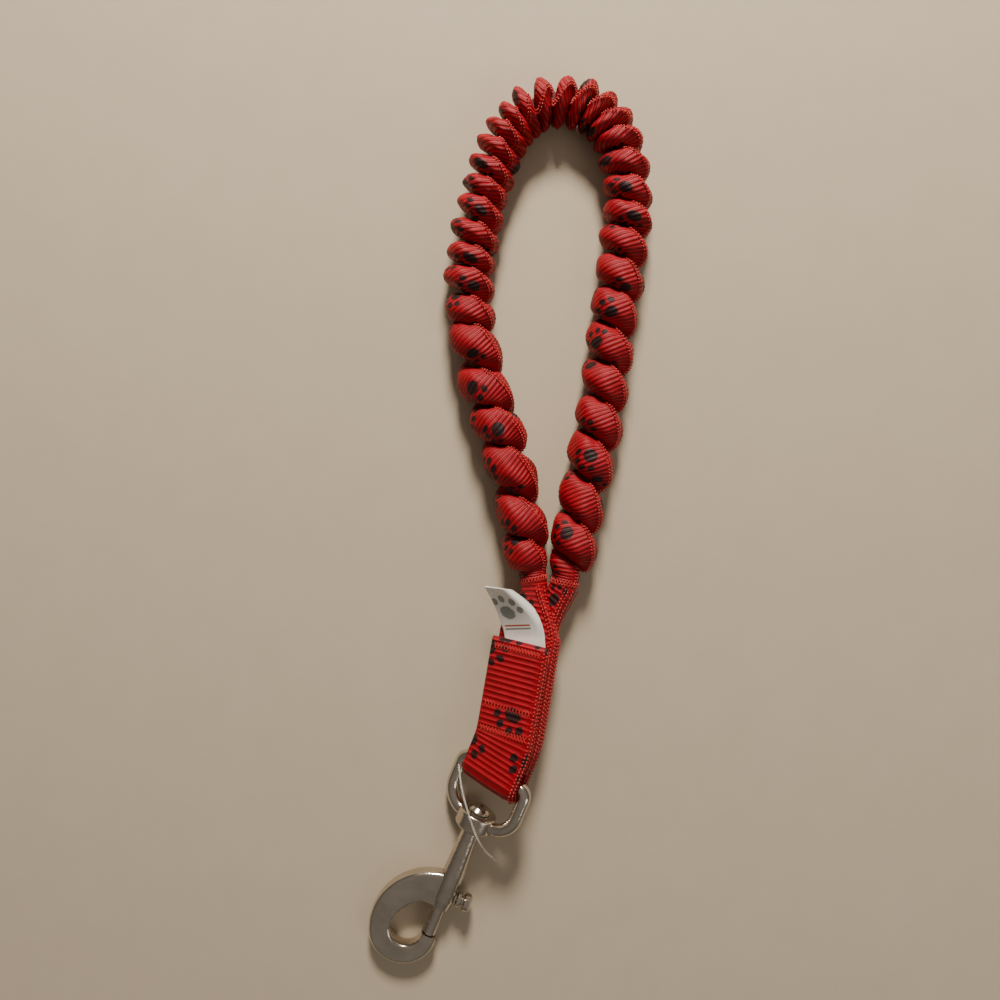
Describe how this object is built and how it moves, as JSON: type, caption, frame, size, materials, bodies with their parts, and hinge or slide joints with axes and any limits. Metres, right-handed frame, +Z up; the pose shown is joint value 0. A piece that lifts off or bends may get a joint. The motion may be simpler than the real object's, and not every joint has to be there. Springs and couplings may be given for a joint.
{
  "type": "bungee training leash",
  "caption": "Short bungee training leash: gathered red paw-print webbing hand loop on an elastic core, sewn flat round the swivel eye of a sliding-bolt snap hook.",
  "frame": {"origin": "middle of the leash's bounding box in plan, on the surface it lies on", "axes": "+Y along the leash from the snap hook to the top of the hand loop, +X to the right seen from above, +Z up"},
  "size_m": [0.0915, 0.2868, 0.0198],
  "materials": {
    "red_webbing": "red grosgrain nylon webbing with scattered black paw prints",
    "red_thread": "red bonded sewing thread",
    "elastic_jacket": "black braided polyester",
    "elastic_rubber": "natural rubber strands",
    "label_satin": "white woven satin ribbon with a plain printed motif",
    "bright_nickel": "bright nickel plate on zinc die casting",
    "spring_steel": "drawn wire",
    "clear_nylon": "clear nylon filament"
  },
  "bodies": {
    "lead": {"loop_sleeve": "red_webbing", "bungee_jacket": "elastic_jacket", "bungee_rubber": "elastic_rubber", "eye_strap": "red_webbing", "left_leg_strap": "red_webbing", "bar_tack_upper": "red_thread", "bar_tack_middle": "red_thread", "bar_tack_lower": "red_thread", "left_leg_tack": "red_thread", "right_leg_tack": "red_thread", "edge_seam": "red_thread", "sewn_label": "label_satin"},
    "eye": {"swivel_eye": "bright_nickel", "tag_filament": "clear_nylon"},
    "snap": {"snap_body": "bright_nickel", "swivel_rivet": "bright_nickel", "return_spring": "spring_steel"},
    "bolt": {"bolt": "bright_nickel", "thumb_knob": "bright_nickel"}
  },
  "joints": [
    {"name": "eye_tilt", "type": "hinge", "parent": "lead", "child": "eye", "pos_m": [-0.0043, -0.0789, 0.0095], "axis": [0.8054, -0.3708, 0.4625], "range_deg": [-110, 110], "deforming": ["tag_filament"]},
    {"name": "snap_swivel", "type": "hinge", "parent": "eye", "child": "snap", "pos_m": [-0.01143, -0.09674, 0.00761], "axis": [-0.3694, -0.9241, -0.0977], "continuous": true},
    {"name": "bolt_slide", "type": "slide", "parent": "snap", "child": "bolt", "axis": [0.3694, 0.9241, 0.0977], "range_m": [0, 0.01], "stiffness_N_per_m": 250, "springref_m": -0.006, "deforming": ["return_spring"]}
  ]
}
